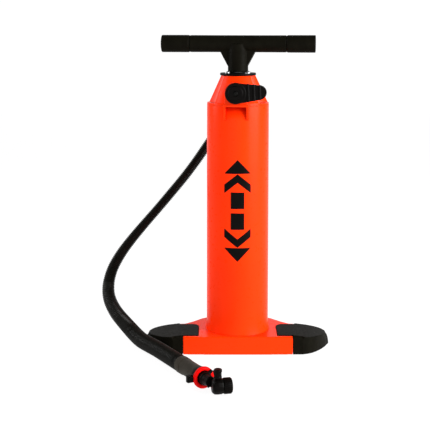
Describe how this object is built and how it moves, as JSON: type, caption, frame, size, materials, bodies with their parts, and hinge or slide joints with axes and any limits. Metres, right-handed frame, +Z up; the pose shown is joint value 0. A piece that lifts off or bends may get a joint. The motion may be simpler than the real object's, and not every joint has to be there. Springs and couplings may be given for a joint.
{
  "type": "double action hand pump",
  "caption": "Upright double action hand pump: T-handle, orange barrel on a footed base, conical head with a mode lever, corrugated hose with a valve adapter.",
  "frame": {"origin": "on the floor, on the barrel's axis, at the middle of the base plate's underside", "axes": "+Z up along the barrel, -Y to the front where the mode lever is, +X to the side the lever points to"},
  "size_m": [0.4463, 0.4018, 0.5938],
  "materials": {
    "orange_plastic": "glossy moulded orange plastic",
    "black_plastic": "satin black moulded plastic",
    "grip_plastic": "fine-textured black plastic",
    "hose_plastic": "satin black corrugated hose",
    "red_rubber": "smooth red sealing ring",
    "seal_rubber": "black sealing rubber",
    "liner_plastic": "smooth grey cylinder liner",
    "acetal": "off-white bearing plastic",
    "steel": "plain stainless steel",
    "black_steel": "black-coated steel",
    "aluminium": "satin anodised tube"
  },
  "bodies": {
    "pump_body": {"barrel": "orange_plastic", "head_cap": "orange_plastic", "base_plate": "orange_plastic", "head_valve_plate": "black_plastic", "gland_flange": "black_plastic", "base_valve_plate": "black_plastic", "hose_elbow": "black_plastic", "elbow_nut": "black_plastic", "hose_inlet_cuff": "black_plastic", "hose_end_cuff": "black_plastic", "coupler_body": "black_plastic", "nozzle_stem": "black_plastic", "adapter_knuckle": "black_plastic", "foot_left": "grip_plastic", "foot_right": "grip_plastic", "hose": "hose_plastic", "coupler_ring": "red_rubber", "head_gasket": "seal_rubber", "rod_seal": "seal_rubber", "base_seal_ring": "seal_rubber", "lower_intake_valve": "seal_rubber", "upper_intake_valve": "seal_rubber", "lower_delivery_band": "seal_rubber", "upper_delivery_band": "seal_rubber", "elbow_seal_ring": "seal_rubber", "lever_seal_ring": "seal_rubber", "cylinder_liner": "liner_plastic", "rod_bush": "acetal", "gland_screw_1": "steel", "gland_screw_2": "steel", "gland_screw_3": "steel", "gland_screw_4": "steel", "barrel_screw_1": "steel", "barrel_screw_2": "steel", "barrel_screw_3": "steel", "barrel_screw_4": "steel", "foot_screw_left_1": "steel", "foot_screw_left_2": "steel", "foot_screw_right_1": "steel", "foot_screw_right_2": "steel"},
    "piston": {"piston_lower_plate": "black_plastic", "piston_upper_plate": "black_plastic", "piston_seal_lower": "seal_rubber", "piston_seal_upper": "seal_rubber", "piston_washer": "steel"},
    "rod_handle": {"piston_rod": "aluminium", "rod_collar": "aluminium", "rod_nut": "steel", "rod_plug": "seal_rubber", "handle_bar": "grip_plastic", "grip_left": "grip_plastic", "grip_right": "grip_plastic", "handle_pin": "steel"},
    "selector": {"mode_lever": "black_plastic", "lever_screw": "black_steel", "valve_spool": "black_plastic"},
    "valve_ring": {"adapter_ring": "black_plastic"},
    "cap": {"stub_cap": "black_plastic"}
  },
  "joints": [
    {"name": "rod_slide", "type": "slide", "parent": "pump_body", "child": "piston", "axis": [0, 0, 1], "range_m": [0, 0.362]},
    {"name": "handle_turn", "type": "hinge", "parent": "piston", "child": "rod_handle", "pos_m": [0, 0, 0.5777], "axis": [0, 0, 1], "continuous": true},
    {"name": "mode_lever_turn", "type": "hinge", "parent": "pump_body", "child": "selector", "pos_m": [-0.0055, -0.06687, 0.4902], "axis": [-0.0819, -0.9966, 0], "range_deg": [-90, 0]},
    {"name": "adapter_ring_turn", "type": "hinge", "parent": "pump_body", "child": "valve_ring", "pos_m": [-0.03815, -0.27466, 0.01611], "axis": [0.9781, 0.2079, 0], "continuous": true},
    {"name": "stub_cap_pull", "type": "slide", "parent": "pump_body", "child": "cap", "axis": [0, 0, 1], "range_m": [0, 0.012]}
  ]
}
